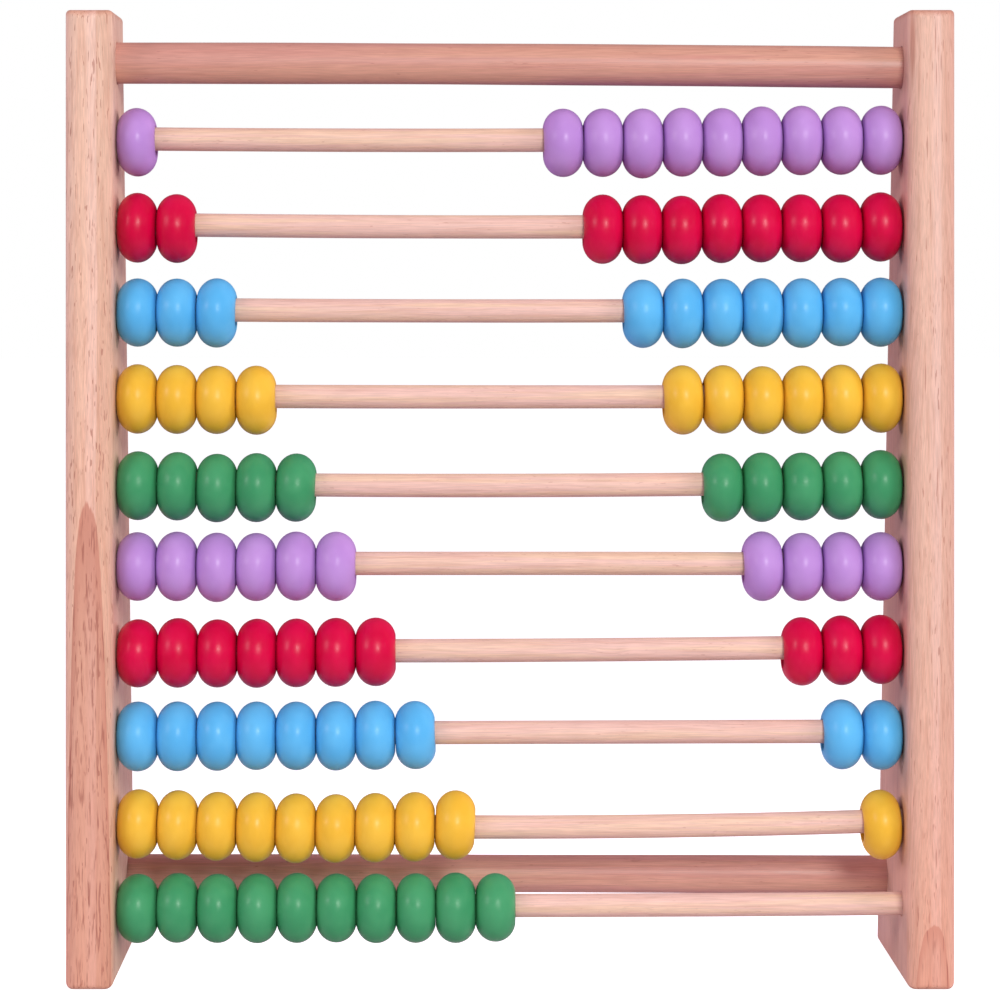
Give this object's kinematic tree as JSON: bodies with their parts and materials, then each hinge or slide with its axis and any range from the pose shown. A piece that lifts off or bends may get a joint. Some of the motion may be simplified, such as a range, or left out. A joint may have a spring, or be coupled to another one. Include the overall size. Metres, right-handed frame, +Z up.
{
  "type": "abacus",
  "caption": "Wooden counting frame: tapering side boards tied by two dowels, with rows of flattened coloured beads that slide on thin horizontal rods.",
  "frame": {"origin": "middle of the base, on the surface that the frame stands on", "axes": "+X to the right along the rods, +Y from the front to the back, +Z up"},
  "size_m": [0.2776, 0.07, 0.3045],
  "materials": {
    "side_wood": "pale pinkish rubberwood, sanded, thin matt lacquer",
    "rod_wood": "pale straight-grained round stick, bare",
    "dowel_wood": "redder dowel wood, sanded, thin matt lacquer",
    "purple_paint": "turned wood, satin purple paint",
    "red_paint": "turned wood, satin red paint",
    "blue_paint": "turned wood, satin sky-blue paint",
    "yellow_paint": "turned wood, satin yellow paint",
    "green_paint": "turned wood, satin green paint"
  },
  "bodies": {
    "frame": {"side_board_left": "side_wood", "side_board_right": "side_wood", "top_dowel": "dowel_wood", "rear_dowel": "dowel_wood", "rod_01": "rod_wood", "rod_02": "rod_wood", "rod_03": "rod_wood", "rod_04": "rod_wood", "rod_05": "rod_wood", "rod_06": "rod_wood", "rod_07": "rod_wood", "rod_08": "rod_wood", "rod_09": "rod_wood", "rod_10": "rod_wood"},
    "row01_left_beads": {"row01_bead01": "purple_paint"},
    "row01_right_beads": {"row01_bead02": "purple_paint", "row01_beads03-06": "purple_paint", "row01_beads07-10": "purple_paint"},
    "row02_left_beads": {"row02_bead02": "red_paint", "row02_bead01": "red_paint"},
    "row02_right_beads": {"row02_bead03": "red_paint", "row02_beads04-06": "red_paint", "row02_beads07-10": "red_paint"},
    "row03_left_beads": {"row03_bead03": "blue_paint", "row03_beads01-02": "blue_paint"},
    "row03_right_beads": {"row03_bead04": "blue_paint", "row03_beads05-07": "blue_paint", "row03_beads08-10": "blue_paint"},
    "row04_left_beads": {"row04_bead04": "yellow_paint", "row04_beads01-03": "yellow_paint"},
    "row04_right_beads": {"row04_bead05": "yellow_paint", "row04_beads06-07": "yellow_paint", "row04_beads08-10": "yellow_paint"},
    "row05_left_beads": {"row05_bead05": "green_paint", "row05_beads01-04": "green_paint"},
    "row05_right_beads": {"row05_bead06": "green_paint", "row05_beads07-10": "green_paint"},
    "row06_left_beads": {"row06_bead06": "purple_paint", "row06_beads04-05": "purple_paint", "row06_beads01-03": "purple_paint"},
    "row06_right_beads": {"row06_bead07": "purple_paint", "row06_beads08-10": "purple_paint"},
    "row07_left_beads": {"row07_bead07": "red_paint", "row07_beads04-06": "red_paint", "row07_beads01-03": "red_paint"},
    "row07_right_beads": {"row07_bead08": "red_paint", "row07_beads09-10": "red_paint"},
    "row08_left_beads": {"row08_bead08": "blue_paint", "row08_beads05-07": "blue_paint", "row08_beads01-04": "blue_paint"},
    "row08_right_beads": {"row08_bead09": "blue_paint", "row08_bead10": "blue_paint"},
    "row09_left_beads": {"row09_bead09": "yellow_paint", "row09_beads05-08": "yellow_paint", "row09_beads01-04": "yellow_paint"},
    "row09_right_beads": {"row09_bead10": "yellow_paint"},
    "row10_left_beads": {"row10_bead10": "green_paint", "row10_beads06-09": "green_paint", "row10_beads01-05": "green_paint"}
  },
  "joints": [
    {"name": "row01_left_slide", "type": "slide", "parent": "frame", "child": "row01_left_beads", "axis": [1, 0, 0], "range_m": [0, 0.1215]},
    {"name": "row01_right_slide", "type": "slide", "parent": "frame", "child": "row01_right_beads", "axis": [1, 0, 0], "range_m": [-0.1215, 0]},
    {"name": "row02_left_slide", "type": "slide", "parent": "frame", "child": "row02_left_beads", "axis": [1, 0, 0], "range_m": [0, 0.1215]},
    {"name": "row02_right_slide", "type": "slide", "parent": "frame", "child": "row02_right_beads", "axis": [1, 0, 0], "range_m": [-0.1215, 0]},
    {"name": "row03_left_slide", "type": "slide", "parent": "frame", "child": "row03_left_beads", "axis": [1, 0, 0], "range_m": [0, 0.1215]},
    {"name": "row03_right_slide", "type": "slide", "parent": "frame", "child": "row03_right_beads", "axis": [1, 0, 0], "range_m": [-0.1215, 0]},
    {"name": "row04_left_slide", "type": "slide", "parent": "frame", "child": "row04_left_beads", "axis": [1, 0, 0], "range_m": [0, 0.1215]},
    {"name": "row04_right_slide", "type": "slide", "parent": "frame", "child": "row04_right_beads", "axis": [1, 0, 0], "range_m": [-0.1215, 0]},
    {"name": "row05_left_slide", "type": "slide", "parent": "frame", "child": "row05_left_beads", "axis": [1, 0, 0], "range_m": [0, 0.1215]},
    {"name": "row05_right_slide", "type": "slide", "parent": "frame", "child": "row05_right_beads", "axis": [1, 0, 0], "range_m": [-0.1215, 0]},
    {"name": "row06_left_slide", "type": "slide", "parent": "frame", "child": "row06_left_beads", "axis": [1, 0, 0], "range_m": [0, 0.1215]},
    {"name": "row06_right_slide", "type": "slide", "parent": "frame", "child": "row06_right_beads", "axis": [1, 0, 0], "range_m": [-0.1215, 0]},
    {"name": "row07_left_slide", "type": "slide", "parent": "frame", "child": "row07_left_beads", "axis": [1, 0, 0], "range_m": [0, 0.1215]},
    {"name": "row07_right_slide", "type": "slide", "parent": "frame", "child": "row07_right_beads", "axis": [1, 0, 0], "range_m": [-0.1215, 0]},
    {"name": "row08_left_slide", "type": "slide", "parent": "frame", "child": "row08_left_beads", "axis": [1, 0, 0], "range_m": [0, 0.1215]},
    {"name": "row08_right_slide", "type": "slide", "parent": "frame", "child": "row08_right_beads", "axis": [1, 0, 0], "range_m": [-0.1215, 0]},
    {"name": "row09_left_slide", "type": "slide", "parent": "frame", "child": "row09_left_beads", "axis": [1, 0, 0], "range_m": [0, 0.1215]},
    {"name": "row09_right_slide", "type": "slide", "parent": "frame", "child": "row09_right_beads", "axis": [1, 0, 0], "range_m": [-0.1215, 0]},
    {"name": "row10_left_slide", "type": "slide", "parent": "frame", "child": "row10_left_beads", "axis": [1, 0, 0], "range_m": [0, 0.1215]}
  ]
}
